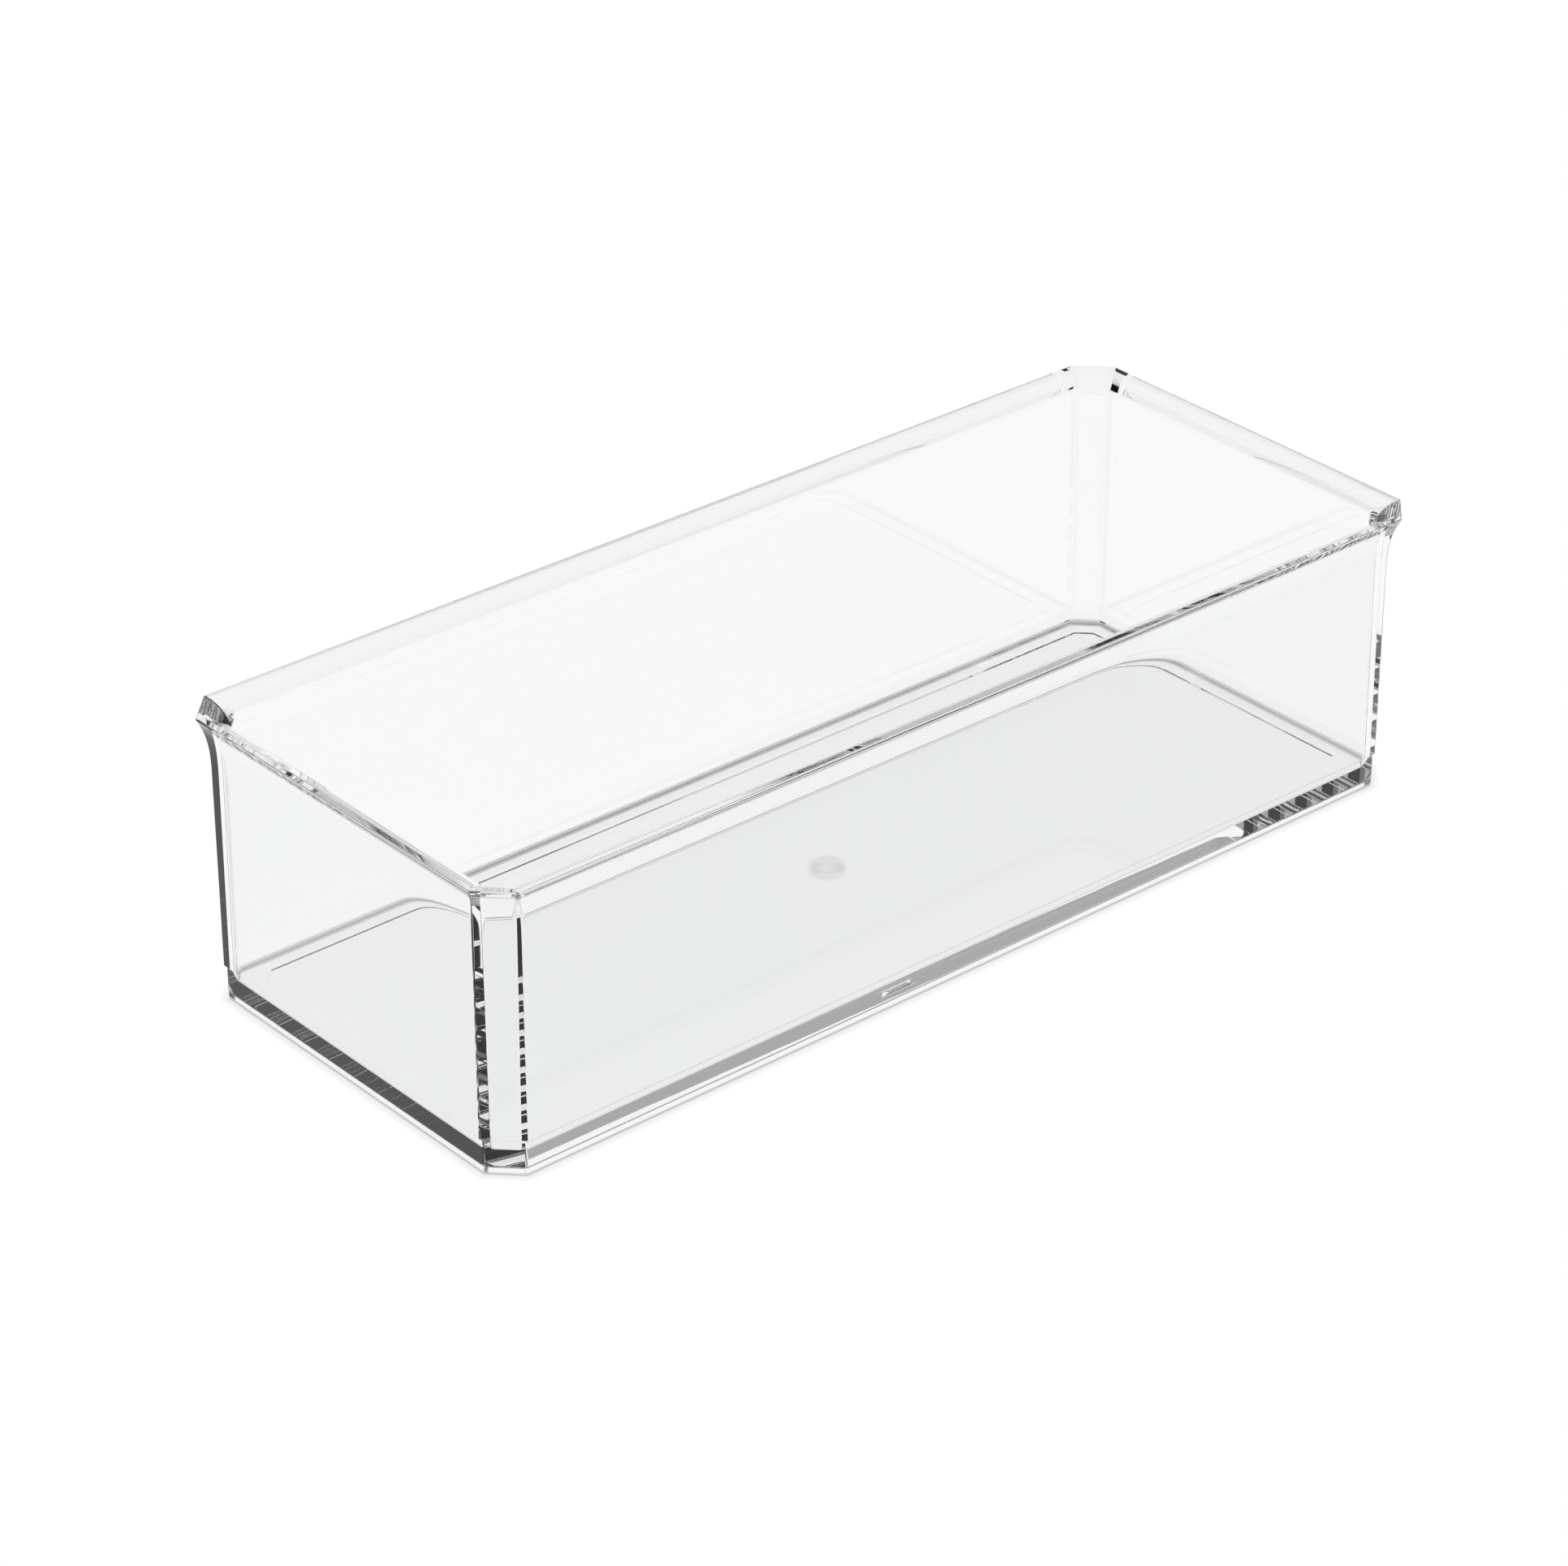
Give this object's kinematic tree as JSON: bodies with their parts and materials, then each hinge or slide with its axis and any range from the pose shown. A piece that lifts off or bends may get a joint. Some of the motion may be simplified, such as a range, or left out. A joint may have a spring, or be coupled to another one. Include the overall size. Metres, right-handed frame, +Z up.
{
  "type": "tea organizer box",
  "caption": "Open eight-sided clear plastic tray with a flared rim, a sloped mouth inside it and a foot ring, for standing tea bags or sachets in a row.",
  "frame": {"origin": "middle of the underside of the foot ring, on the surface that the tray stands on", "axes": "+Z up out of the open mouth, X along the long sides, Y across the tray"},
  "size_m": [0.2306, 0.0936, 0.06],
  "materials": {
    "clear_plastic": "clear, polished"
  },
  "bodies": {
    "root": {"tray": "clear_plastic"}
  },
  "joints": []
}
